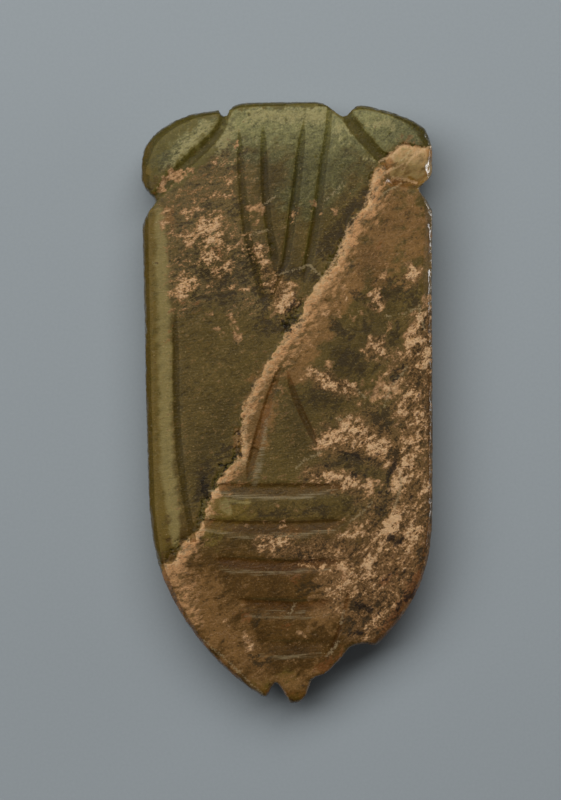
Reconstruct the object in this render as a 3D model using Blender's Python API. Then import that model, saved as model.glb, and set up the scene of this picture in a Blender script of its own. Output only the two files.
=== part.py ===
"""Jade cicada, an amulet about 60 mm long, lying on its back with its carved belly up.

The stone is worked as a lapidary would work it. A flat blank is sawn to the outline with bevelled
rims, the notches and the broken places are cut through it, the lines are ground into both faces,
and the whole is then rounded and thinned towards its ends. The head points to +Y. All sizes are
in millimetres and are turned into metres at the end.
"""

import math

import bmesh
import bpy
from mathutils import Vector

NODE = "jade_cicada"
MM = 0.001

# Driving sizes
BELLY = 2.9        # carved face above the middle of the edge, before the rounding
BACK = 3.1         # resting face below the middle of the edge
EDGE = 1.0         # bottom of the upright rim below the middle of the edge
RIM_TOP = 2.15     # its top above the middle
OUTLINE_STEP = 1.2
RELIEF_STEP = 0.22 # how far the lower fragment stands proud along the mended break
BREAK_SLOPE = 0.4  # width of the chipped slope that leads up to it
CUTTER_CLEAR = 0.05
CUTTER_BEYOND = 1.0
LIFTED_BELOW = 0.4 # share of a line's greatest width, under which the wheel is clear of the stone
SHARP_ANGLE = 25   # degrees

# The blank's section: share of the bevel's width, a further inset, and the height
SECTION = (
    (1.0, 1.1, -BACK),
    (1.0, 0.1, -BACK + 0.45),
    (0.12, 0.0, -EDGE - 0.3),
    (0.0, 0.0, -EDGE),
    (0.0, 0.0, RIM_TOP),
    (0.3, 0.0, RIM_TOP + 0.28),
    (1.0, 0.0, BELLY),
)

# Rounding and thinning
HALF_WIDTH = 14.5
HALF_LENGTH = 30.0
CROWN = 0.12
BACK_FLAT_HALF = 7.5
BACK_ROUND = 0.3
HEAD_THIN_FROM = 19.0
HEAD_THIN = 0.2
TAIL_THIN_FROM = -10.0
BACK_TAIL_THIN_FROM = -14.0
TAIL_THIN = 0.55
THINNING_POWER = 1.45
EYE_FALL = 0.55
EYE_REACH = 4.2
EYE_BLEND = 1.2    # from the border of an eye to where its fall is whole
GRID_X = 1.53      # cross cuts that let the rounding bend the faces
GRID_Y = 2.27
GRID_OFFSET = 0.37 # share of a step, which keeps the cuts off the outline's own points

# The sawn outline, clockwise from the left shoulder of the head: x, y and the width of the bevel
OUTLINE = (
    (-6.5, 29.25, 0.6), (-4.7, 29.85, 0.7), (0.3, 30.0, 0.7), (3.3, 30.0, 0.7), (7.3, 29.7, 0.5),
    (9.7, 29.2, 0.5), (12.7, 28.1, 0.8), (13.8, 27.35, 1.0), (14.38, 25.9, 1.0), (14.5, 23.8, 0.9),
    (14.46, 10.0, 1.0), (14.5, -9.7, 1.0), (14.35, -13.6, 0.9), (13.5, -17.5, 0.9),
    (11.8, -20.8, 0.8), (9.3, -23.8, 0.7), (5.6, -27.1, 0.5), (2.1, -29.6, 0.4), (0.75, -30.0, 0.4),
    (-0.8, -29.9, 0.4), (-2.6, -29.2, 0.4), (-5.7, -26.9, 0.4), (-9.0, -23.35, 0.4),
    (-11.3, -19.7, 0.5), (-12.9, -15.8, 0.8), (-13.6, -11.7, 1.2), (-14.0, -1.7, 1.2),
    (-14.25, 10.3, 1.2), (-14.45, 19.5, 1.2), (-14.5, 23.0, 1.3), (-14.2, 25.5, 1.4),
    (-12.5, 27.4, 1.3), (-9.7, 28.75, 0.9),
)

# Saw cuts and broken places that go right through, as closed outlines
THROUGH_CUTS = {
    "neck_notch_left": (
        (-7.0, 31.0), (-6.8, 28.98), (-6.55, 28.55), (-6.3, 28.35), (-6.05, 28.38), (-5.87, 28.65),
        (-5.77, 29.15), (-5.5, 29.5), (-4.9, 29.9), (-4.7, 31.0),
    ),
    "neck_notch_right": (
        (3.4, 31.0), (3.35, 30.02), (3.9, 29.72), (4.4, 29.38), (4.9, 28.95), (5.4, 28.58),
        (5.75, 28.5), (6.0, 28.65), (6.3, 29.0), (6.6, 29.4), (7.0, 29.66), (7.4, 29.9), (7.5, 31.0),
    ),
    "side_notch_left": (
        (-15.6, 23.0), (-14.6, 22.45), (-14.3, 21.75), (-14.0, 21.2), (-13.6, 20.8), (-13.15, 20.55),
        (-13.0, 20.3), (-13.1, 20.0), (-13.45, 19.55), (-13.8, 19.05), (-14.1, 18.5), (-14.32, 17.9),
        (-14.6, 16.9), (-15.6, 16.5),
    ),
    "side_notch_right": (
        (15.6, 23.6), (14.6, 23.1), (14.3, 22.5), (14.0, 22.15), (13.5, 21.8), (13.2, 21.5),
        (13.15, 21.2), (13.35, 20.85), (13.7, 20.45), (14.05, 20.0), (14.3, 19.5), (14.6, 18.6),
        (15.6, 18.2),
    ),
    "tail_notch": (
        (-2.15, -31.0), (-2.05, -29.45), (-1.8, -29.0), (-1.6, -28.5), (-1.4, -28.1), (-1.1, -27.85),
        (-0.85, -28.0), (-0.6, -28.4), (-0.3, -28.85), (0.05, -29.45), (0.4, -30.1), (0.5, -31.0),
    ),
    "lost_wing_tip": (
        (1.0, -31.0), (1.15, -30.05), (1.5, -29.7), (1.8, -29.3), (2.05, -28.8), (2.2, -28.3),
        (2.4, -27.8), (2.65, -27.45), (3.1, -27.25), (3.6, -27.1), (4.1, -26.8), (4.5, -26.35),
        (5.0, -25.9), (5.4, -25.5), (5.7, -25.05), (5.95, -24.6), (6.3, -24.35), (6.8, -24.15),
        (7.4, -24.05), (8.0, -24.0), (8.4, -24.15), (8.8, -24.28), (9.2, -23.9), (10.4, -24.0),
        (9.5, -28.0), (4.0, -31.5),
    ),
}

# Foot of the mended break, from the right eye down to the left wing
BREAK_LINE = (
    (16.0, 25.9), (13.9, 25.6), (12.7, 25.8), (11.6, 26.1), (10.6, 25.1), (10.1, 25.0), (9.5, 23.7),
    (8.7, 23.2), (8.3, 21.6), (7.9, 19.9), (6.3, 18.4), (5.6, 16.3), (4.8, 14.1), (3.5, 12.4),
    (2.2, 10.6), (1.3, 8.8), (0.1, 7.2), (-1.4, 5.3), (-2.3, 3.7), (-3.4, 1.5), (-4.4, -0.5),
    (-4.9, -2.9), (-4.7, -5.2), (-5.6, -6.1), (-6.8, -7.4), (-7.6, -9.4), (-8.4, -11.3),
    (-8.5, -12.3), (-9.5, -13.2), (-10.6, -14.0), (-11.1, -15.3), (-11.6, -15.9), (-12.3, -15.9),
    (-13.2, -17.0), (-16.0, -18.2),
)
FAR_CORNERS = ((-18.0, 32.0), (18.0, 32.0))  # beyond the stone, behind the upper fragment


class Line:
    """A ground line: points of x, y and width, its depth, where its floor lies and how wide it is."""

    def __init__(self, points, depth, lean=0.0, floor=0.1):
        self.points = points
        self.depth = depth
        self.lean = lean    # -1 puts the floor under the right bank, 1 under the left, as one travels
        self.floor = floor  # share of the width


# Lines on the upper fragment, whose face is lower
UPPER_LINES = {
    "head_line_1": Line((
        (-4.8, 28.3, 0.25), (-4.65, 25.3, 0.7), (-4.5, 22.3, 0.8), (-4.25, 19.8, 0.85),
        (-3.95, 17.1, 0.85), (-3.4, 14.6, 0.8), (-2.85, 12.3, 0.75), (-2.4, 10.5, 0.65),
        (-2.1, 9.1, 0.25),
    ), 0.22, -0.3, 0.5),
    "head_line_2": Line((
        (-2.4, 28.4, 0.3), (-2.3, 25.8, 0.7), (-2.2, 22.3, 0.8), (-2.05, 20.0, 0.8),
        (-1.85, 18.1, 0.8), (-1.5, 16.2, 0.8), (-1.2, 14.5, 0.85), (-1.05, 12.4, 0.25),
    ), 0.22, -0.3, 0.5),
    "head_line_3": Line((
        (1.85, 29.0, 0.3), (1.55, 26.3, 0.75), (1.3, 24.3, 0.9), (1.05, 21.8, 0.9),
        (0.75, 19.8, 0.9), (0.45, 17.8, 0.85), (0.2, 15.8, 0.85), (-0.1, 14.1, 0.75),
        (-0.8, 12.2, 0.55), (-1.4, 10.8, 0.5), (-2.0, 9.2, 0.2),
    ), 0.26, -0.45, 0.35),
    "head_line_4": Line((
        (4.4, 30.4, 0.6), (4.25, 28.3, 0.7), (4.05, 26.3, 0.8), (3.7, 24.1, 0.85), (3.45, 22.1, 0.9),
        (3.2, 20.1, 0.95), (2.9, 18.1, 0.95), (2.55, 16.1, 1.0), (2.25, 14.5, 1.0), (1.95, 12.8, 0.8),
        (1.6, 11.5, 0.25),
    ), 0.26, -0.45, 0.35),
    "eye_line_left": Line((
        (-6.1, 29.4, 1.0), (-6.3, 27.9, 1.2), (-7.05, 26.7, 1.35), (-8.3, 25.4, 1.45),
        (-9.6, 24.2, 1.5), (-10.9, 22.9, 1.45), (-12.0, 21.7, 1.3), (-12.9, 20.6, 1.1),
        (-13.7, 19.6, 0.9),
    ), 0.32, -0.15, 0.35),
    "eye_line_right": Line((
        (5.7, 29.6, 1.15), (6.3, 28.0, 1.3), (7.3, 26.7, 1.35), (8.4, 25.5, 1.3), (9.6, 24.3, 1.2),
        (10.3, 23.5, 0.9),
    ), 0.27, 0.0, 0.6),
    "wing_line_left": Line((
        (-11.1, 11.3, 0.2), (-11.1, 7.3, 0.7), (-11.05, 2.3, 0.8), (-10.95, -1.7, 0.8),
        (-10.7, -5.2, 0.8), (-10.25, -8.7, 0.75), (-9.75, -11.5, 0.7), (-9.3, -13.8, 0.5),
    ), 0.13, 0.1, 0.6),
}

# Lines on the lower fragment
LOWER_LINES = {
    "eye_line_right_low": Line((
        (15.0, 21.6, 1.5), (13.1, 21.5, 1.3), (11.8, 21.7, 1.0), (10.8, 21.9, 0.8), (9.8, 21.1, 0.6),
        (9.0, 20.1, 0.2),
    ), 0.34),
    "fork_left": Line((
        (-0.3, 4.2, 0.2), (-1.0, 2.6, 0.75), (-1.7, 0.6, 0.95), (-2.5, -2.2, 1.05), (-3.2, -4.7, 1.05),
        (-3.7, -6.5, 0.9), (-4.1, -8.2, 0.25),
    ), 0.26, -0.3, 0.15),
    "fork_right": Line((
        (-0.2, 4.1, 0.2), (0.3, 2.1, 0.6), (0.9, 0.3, 0.75), (1.7, -1.5, 0.8), (2.5, -3.2, 0.7),
        (3.4, -4.9, 0.2),
    ), 0.2, 0.1, 0.3),
    "segment_1": Line((
        (-8.2, -8.4, 0.9), (-5.2, -8.7, 1.3), (-2.7, -8.8, 1.5), (1.3, -8.8, 1.5), (4.3, -8.65, 1.3),
        (6.6, -8.3, 0.2),
    ), 0.24, 0.75, 0.1),
    "segment_2": Line((
        (-9.0, -12.0, 1.1), (-5.7, -12.4, 1.5), (-2.2, -12.55, 1.6), (1.3, -12.5, 1.6),
        (4.3, -12.25, 1.4), (6.6, -11.8, 0.2),
    ), 0.26, 0.75, 0.1),
    "segment_3": Line((
        (-7.9, -15.6, 0.2), (-6.3, -15.9, 1.3), (-3.7, -16.2, 1.6), (0.3, -16.4, 1.7),
        (3.8, -16.2, 1.5), (6.4, -15.7, 0.2),
    ), 0.28, 0.75, 0.1),
    "segment_4": Line((
        (-5.8, -19.6, 0.2), (-4.4, -20.1, 1.5), (-1.7, -20.5, 2.0), (1.3, -20.6, 2.0),
        (3.8, -20.3, 1.7), (5.8, -19.7, 0.2),
    ), 0.27, 0.75, 0.1),
    "segment_5": Line((
        (-3.3, -23.7, 0.2), (-1.9, -24.25, 1.4), (0.3, -24.5, 1.8), (2.5, -24.35, 1.6),
        (4.4, -23.8, 0.2),
    ), 0.24, 0.7, 0.15),
    "wing_line_right": Line((
        (6.4, -16.9, 0.2), (6.0, -19.5, 0.55), (5.2, -22.5, 0.6), (4.1, -25.2, 0.5), (3.4, -26.5, 0.2),
    ), 0.17),
}

# Plainer lines on the hidden back: collar, eyes and the closed wings
BACK_LINES = {
    "back_collar": Line((
        (-15.0, 19.6, 1.1), (-9.0, 17.6, 1.1), (-3.5, 16.7, 1.05), (3.5, 16.7, 1.05), (9.0, 17.6, 1.1),
        (15.0, 19.9, 1.1),
    ), 0.34),
    "back_eye_left": Line((
        (-6.1, 29.5, 1.0), (-7.2, 26.4, 1.2), (-9.7, 23.7, 1.2), (-12.7, 20.9, 1.1),
        (-14.6, 19.0, 1.0),
    ), 0.4),
    "back_eye_right": Line((
        (5.7, 29.6, 1.0), (7.2, 26.6, 1.2), (9.9, 24.0, 1.2), (12.9, 21.6, 1.1), (14.8, 20.0, 1.0),
    ), 0.4),
    "back_wing_left": Line((
        (-0.35, 17.4, 0.3), (-0.45, 9.0, 0.75), (-0.9, 1.0, 0.8), (-2.4, -8.0, 0.85),
        (-4.6, -17.0, 0.8), (-7.2, -24.0, 0.5),
    ), 0.3),
    "back_wing_right": Line((
        (0.35, 17.4, 0.3), (0.45, 9.0, 0.75), (0.9, 1.0, 0.8), (2.4, -8.0, 0.85), (4.6, -17.0, 0.8),
        (7.0, -23.6, 0.5),
    ), 0.3),
}


class Eye:
    """An eye that falls away from a ridge, right of a border as one travels, and above a lowest y."""

    def __init__(self, ridge, border, lowest):
        self.ridge = [Vector(point) for point in ridge]
        self.border = [Vector(point) for point in border]
        self.lowest = lowest

    def fall(self, place):
        border_along = (self.border[1] - self.border[0]).normalized()
        outwards = (place - self.border[0]).dot(Vector((border_along.y, -border_along.x)))
        inside = min(outwards, place.y - self.lowest) / EYE_BLEND
        start, end = self.ridge
        along = end - start
        share = max(0.0, min(1.0, (place - start).dot(along) / along.length_squared))
        distance = (place - start - along * share).length
        return EYE_FALL * max(0.0, min(1.0, inside)) * min(1.0, distance / EYE_REACH) ** 2


EYES = (
    Eye(((-7.2, 27.6), (-12.7, 22.9)), ((-6.1, 29.4), (-13.7, 19.6)), 20.0),
    Eye(((8.6, 28.0), (12.6, 24.0)), ((10.3, 23.5), (5.7, 29.6)), 21.6),
)

STONE_COLOUR = (0.16, 0.13, 0.055, 1.0)


def clear_scene():
    for obj in list(bpy.data.objects):
        bpy.data.objects.remove(obj, do_unlink=True)


def link(name, mesh):
    obj = bpy.data.objects.new(name, mesh)
    bpy.context.collection.objects.link(obj)
    return obj


def through_knots(knots, step):
    """A closed, centripetal Catmull-Rom curve through the knots, with a point about every step."""
    points = []
    count = len(knots)
    for i in range(count):
        corners = [Vector(knots[(i + k) % count]) for k in (-1, 0, 1, 2)]
        flat = [corner.to_2d() for corner in corners]
        times = [0.0]
        for k in range(3):
            times.append(times[-1] + math.sqrt((flat[k + 1] - flat[k]).length))
        pieces = max(1, round((flat[2] - flat[1]).length / step))
        for piece in range(pieces):
            t = times[1] + (times[2] - times[1]) * piece / pieces
            level = corners
            for reach in (1, 2, 3):
                level = [
                    level[k].lerp(level[k + 1], (t - times[low]) / (times[high] - times[low]))
                    for k, (low, high) in enumerate(spans(reach))
                ]
            points.append(level[0])
    return points


def spans(reach):
    """The pairs of knot times that each round of a Catmull-Rom point blends between."""
    return {1: ((0, 1), (1, 2), (2, 3)), 2: ((0, 2), (1, 3)), 3: ((1, 2),)}[reach]


def inset(points, share, extra=0.0):
    """The outline moved inwards by a share of its bevel width, and by the same extra everywhere."""
    moved = []
    count = len(points)
    for i, point in enumerate(points):
        along = (points[(i + 1) % count] - points[i - 1]).to_2d().normalized()
        inward = Vector((along.y, -along.x))
        moved.append(point.to_2d() + inward * (point.z * share + extra))
    return moved


def bridge_rings(name, rings):
    """A closed mesh from rings of equal length, lowest first, with its first and last ring filled."""
    bm = bmesh.new()
    loops = [[bm.verts.new(point) for point in ring] for ring in rings]
    count = len(loops[0])
    bm.faces.new(loops[0])
    for low, high in zip(loops, loops[1:]):
        for i in range(count):
            j = (i + 1) % count
            bm.faces.new((low[i], low[j], high[j], high[i]))
    bm.faces.new(loops[-1])
    bmesh.ops.recalc_face_normals(bm, faces=bm.faces)
    mesh = bpy.data.meshes.new(name)
    bm.to_mesh(mesh)
    bm.free()
    return link(name, mesh)


def make_blank():
    outline = through_knots(OUTLINE, OUTLINE_STEP)
    rings = []
    for share, extra, height in SECTION:
        rings.append([point.to_3d() + Vector((0, 0, height)) for point in inset(outline, share, extra)])
    return bridge_rings(NODE, rings)


def make_prism(name, points, low, high, shift=(0.0, 0.0)):
    """A cutter between two heights, whose top is moved sideways by shift."""
    bottom = [Vector((x, y, low)) for x, y in points]
    top = [Vector((x + shift[0], y + shift[1], high)) for x, y in points]
    return bridge_rings(name, [bottom, top])


def make_groove(name, line, surface, way):
    """A cutter for a ground line in the face at height surface. way is 1 on the belly, -1 on the back."""
    widest = max(width for _, _, width in line.points)
    last = len(line.points) - 1
    sections = []
    for i, (x, y, width) in enumerate(line.points):
        before = line.points[max(i - 1, 0)]
        after = line.points[min(i + 1, last)]
        along = Vector((after[0] - before[0], after[1] - before[1])).normalized()
        left = Vector((-along.y, along.x))
        depth = line.depth * width / widest
        if width < LIFTED_BELOW * widest:
            depth = -0.5 * CUTTER_CLEAR
        bank = width / 2
        centre = line.lean * bank
        floor = line.floor * bank
        spread = CUTTER_CLEAR / line.depth
        left_bank = bank + (bank - centre - floor) * spread
        right_bank = bank + (bank + centre - floor) * spread
        profile = (
            (left_bank, CUTTER_BEYOND), (left_bank, CUTTER_CLEAR), (centre + floor, -depth),
            (centre - floor, -depth), (-right_bank, CUTTER_CLEAR), (-right_bank, CUTTER_BEYOND),
        )
        centre_point = Vector((x, y))
        sections.append([
            (centre_point + left * across).to_3d() + Vector((0, 0, surface + way * height))
            for across, height in profile
        ])
    return bridge_rings(name, sections)


def cut(stone, cutter):
    modifier = stone.modifiers.new(cutter.name, "BOOLEAN")
    modifier.operation = "DIFFERENCE"
    modifier.object = cutter
    cutter.hide_render = True
    cutter.display_type = "WIRE"


def applied(obj):
    """The object's mesh with its modifiers applied, as a bmesh."""
    bpy.context.view_layer.update()
    graph = bpy.context.evaluated_depsgraph_get()
    bm = bmesh.new()
    bm.from_object(obj, graph)
    return bm


def add_cross_cuts(bm):
    """Divides the faces by a grid of upright planes, so that the rounding has points to move."""
    for axis, step, reach in ((0, GRID_X, HALF_WIDTH), (1, GRID_Y, HALF_LENGTH)):
        count = int(reach / step)
        for i in range(-count, count + 1):
            point = Vector((0, 0, 0))
            point[axis] = (i + GRID_OFFSET) * step
            normal = Vector((0, 0, 0))
            normal[axis] = 1.0
            geometry = bm.verts[:] + bm.edges[:] + bm.faces[:]
            bmesh.ops.bisect_plane(bm, geom=geometry, dist=1e-4, plane_co=point, plane_no=normal)


def thinning(y, tail_from):
    if y > HEAD_THIN_FROM:
        reach = (y - HEAD_THIN_FROM) / (HALF_LENGTH - HEAD_THIN_FROM)
        return 1.0 - HEAD_THIN * reach ** THINNING_POWER
    if y < tail_from:
        reach = (tail_from - y) / (HALF_LENGTH + tail_from)
        return 1.0 - TAIL_THIN * reach ** THINNING_POWER
    return 1.0


def round_off(point):
    x, y, z = point
    if z > 0:
        crown = 1.0 - CROWN * (x / HALF_WIDTH) ** 2
        height = z * crown * thinning(y, TAIL_THIN_FROM)
        falls = sum(eye.fall(Vector((x, y))) for eye in EYES)
        return height - falls * max(0.0, (z - EDGE) / (BELLY - EDGE))
    beyond = max(0.0, abs(x) - BACK_FLAT_HALF) / (HALF_WIDTH - BACK_FLAT_HALF)
    return z * (1.0 - BACK_ROUND * beyond ** 2) * thinning(y, BACK_TAIL_THIN_FROM)


def make_material():
    material = bpy.data.materials.new("olive_jade")
    material.use_nodes = True
    shader = material.node_tree.nodes["Principled BSDF"]
    shader.inputs["Base Color"].default_value = STONE_COLOUR
    shader.inputs["Roughness"].default_value = 0.35
    shader.inputs["Metallic"].default_value = 0.0
    return material


def make_cicada():
    stone = make_blank()
    for name, points in THROUGH_CUTS.items():
        cut(stone, make_prism(name, points, -BACK - CUTTER_BEYOND, BELLY + CUTTER_BEYOND))
    face = BELLY - RELIEF_STEP
    rise = RELIEF_STEP + 4 * CUTTER_CLEAR
    slope = BREAK_SLOPE * rise / RELIEF_STEP
    shift = (slope * math.sqrt(0.5), -slope * math.sqrt(0.5))
    upper_fragment = BREAK_LINE + FAR_CORNERS
    cut(stone, make_prism("upper_fragment_face", upper_fragment, face, face + rise, shift))
    for surface, way, lines in ((face, 1, UPPER_LINES), (BELLY, 1, LOWER_LINES), (-BACK, -1, BACK_LINES)):
        for name, line in lines.items():
            cut(stone, make_groove(name, line, surface, way))
    bm = applied(stone)
    add_cross_cuts(bm)
    bmesh.ops.triangulate(bm, faces=bm.faces, quad_method="BEAUTY", ngon_method="BEAUTY")
    for vert in bm.verts:
        vert.co.z = round_off(vert.co) + BACK
    bmesh.ops.scale(bm, vec=(MM, MM, MM), verts=bm.verts)
    bm.to_mesh(stone.data)
    bm.free()
    stone.modifiers.clear()
    stone.data.materials.append(make_material())
    stone.data.shade_smooth()
    stone.data.set_sharp_from_angle(angle=math.radians(SHARP_ANGLE))
    return stone


clear_scene()
make_cicada()
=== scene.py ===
"""The looks of the jade cicada: its fine relief, its stained and weathered stone, and the studio.

The solid is copied and remeshed evenly. Its two faces are then worked over on a chart, a fine grid
of heights seen from above in millimetres. A like chart for each stain holds how deep each place
lies in it, and the materials read that from the points of the mesh.
"""

import math

import bmesh
import bpy
import numpy as np
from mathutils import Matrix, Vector
from mathutils.bvhtree import BVHTree


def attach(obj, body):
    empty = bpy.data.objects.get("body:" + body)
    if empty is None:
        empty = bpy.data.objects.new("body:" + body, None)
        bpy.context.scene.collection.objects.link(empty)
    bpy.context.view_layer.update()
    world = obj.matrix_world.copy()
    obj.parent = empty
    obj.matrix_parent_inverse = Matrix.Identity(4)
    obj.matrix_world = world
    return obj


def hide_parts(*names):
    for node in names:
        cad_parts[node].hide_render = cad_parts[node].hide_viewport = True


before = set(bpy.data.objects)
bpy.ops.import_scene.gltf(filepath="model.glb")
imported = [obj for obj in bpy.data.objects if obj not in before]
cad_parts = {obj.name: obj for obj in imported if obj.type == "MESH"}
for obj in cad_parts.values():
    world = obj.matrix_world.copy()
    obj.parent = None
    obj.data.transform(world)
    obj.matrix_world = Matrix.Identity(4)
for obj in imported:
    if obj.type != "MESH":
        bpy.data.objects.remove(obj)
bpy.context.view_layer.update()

NODE = "jade_cicada"
MM = 0.001

# The chart of the stone, in millimetres
CELL = 0.08
CHART_HALF_X = 15.6
CHART_HALF_Y = 31.2
VOXEL = 0.36  # the remeshed stone, whose busier places are then divided
RAY_START = 20.0

# Heights
MID_HEIGHT = 3.1
FACET_BLUR = 0.05
WORN_BLUR = 0.11  # on the abdomen and the upper fragment, whose lines are worn soft
HEAD_BLUR = 0.12
HOLLOW_REACH = 0.22
LINE_REACH = 1.2  # more than half the width of any carved line
HAND_WAVE = 0.04  # how far the hand-cut lines stray
CHIP_WAVE = 0.13  # how far chips shift the edge of the break, and how far from it they do
CHIP_REACH = 0.7
UNEVENNESS = 0.035
CREVICE_DEPTH = 0.22
CRACK_DEPTH = 0.14  # of the break on the resting face
PLAIN_BEND = 0.02  # how much the carved face bends where its mesh is divided once, and twice
BUSY_BEND = 0.075
FACES_UP = 0.2

# How far the edges of the stains stray: ragged ones, their finer teeth, and wavy ones
RAGGED = 0.22
TEETH = 0.07
WAVY = 0.06
STROKE_MARGIN = 1.0

# How much shallower a stain lies on the resting face (the stains are named in read_stains)
LESS_BELOW = {
    "honey": 1.0, "crevice": 1.0, "pale": 1.0, "vein": 1.0, "ridge": 1.0, "worn": 1.0,
    "strip": 1.0, "dim": 1.0, "tan": 0.35, "black": 0.3,
}
OTHERS_LESS_BELOW = 0.1

# The photograph's frame, and where the stone lies in it
IMAGE_WIDTH = 561
IMAGE_HEIGHT = 800
PIXELS_PER_MM = 10.0
ORIGIN_PIXEL = (287.0, 403.0)
CAMERA_HEIGHT = 500.0
SENSOR = 36.0
FLOOR_SIZE = 1.6

# Foot of the mended break, from the right eye down to the left wing
BREAK_LINE = (
    (16.0, 25.9), (13.9, 25.6), (12.7, 25.8), (11.6, 26.1), (10.5, 25.2), (9.8, 24.9), (9.2, 23.8),
    (8.5, 23.2), (8.2, 21.6), (7.9, 19.9), (6.3, 18.4), (5.6, 16.3), (4.8, 14.1), (3.5, 12.4),
    (2.2, 10.6), (1.3, 8.8), (0.1, 7.2), (-1.4, 5.3), (-2.3, 3.7), (-3.4, 1.5), (-4.4, -0.5),
    (-4.9, -2.9), (-4.7, -5.2), (-5.6, -6.1), (-6.8, -7.4), (-7.6, -9.4), (-8.4, -11.3),
    (-8.5, -12.3), (-9.5, -13.2), (-10.6, -14.0), (-11.1, -15.3), (-11.6, -15.9), (-12.3, -15.9),
    (-13.2, -17.0), (-16.0, -18.2),
)
FAR_CORNERS = ((-18.0, 32.0), (18.0, 32.0))

# Every stain is a list of strokes, and a stroke is a list of points: x, y and half its width.
# Altered, honey-coloured stone below the break
HONEY = (
    ((10.2, 24.6, 0.8), (11.7, 25.3, 1.0), (13.9, 24.6, 1.3), (14.4, 22.6, 1.2)),
    ((9.2, 22.6, 1.0), (10.8, 22.9, 1.3), (12.6, 23.1, 1.4)),
    ((9.0, 22.4, 1.2), (9.0, 20.8, 1.2), (8.2, 19.2, 1.1), (7.0, 17.6, 1.1), (6.1, 15.8, 1.1),
     (5.3, 13.9, 1.2), (4.4, 12.2, 1.4), (3.3, 10.3, 1.5), (2.3, 8.6, 1.5), (1.1, 6.8, 1.5),
     (-0.2, 5.0, 1.5), (-1.4, 3.2, 1.5), (-2.4, 1.3, 1.4), (-3.3, -0.6, 1.4), (-3.9, -2.6, 1.4),
     (-3.8, -4.8, 1.5), (-4.4, -6.6, 1.4), (-6.0, -7.8, 1.0), (-7.2, -9.6, 0.9), (-7.9, -11.8, 0.9),
     (-9.0, -13.5, 0.9), (-10.2, -15.0, 1.1), (-11.1, -16.4, 1.1), (-12.4, -17.4, 1.0)),
    ((-11.8, -16.8, 1.5), (-10.6, -18.4, 1.6), (-10.0, -20.4, 1.1), (-9.2, -22.0, 0.6)),
)
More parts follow.
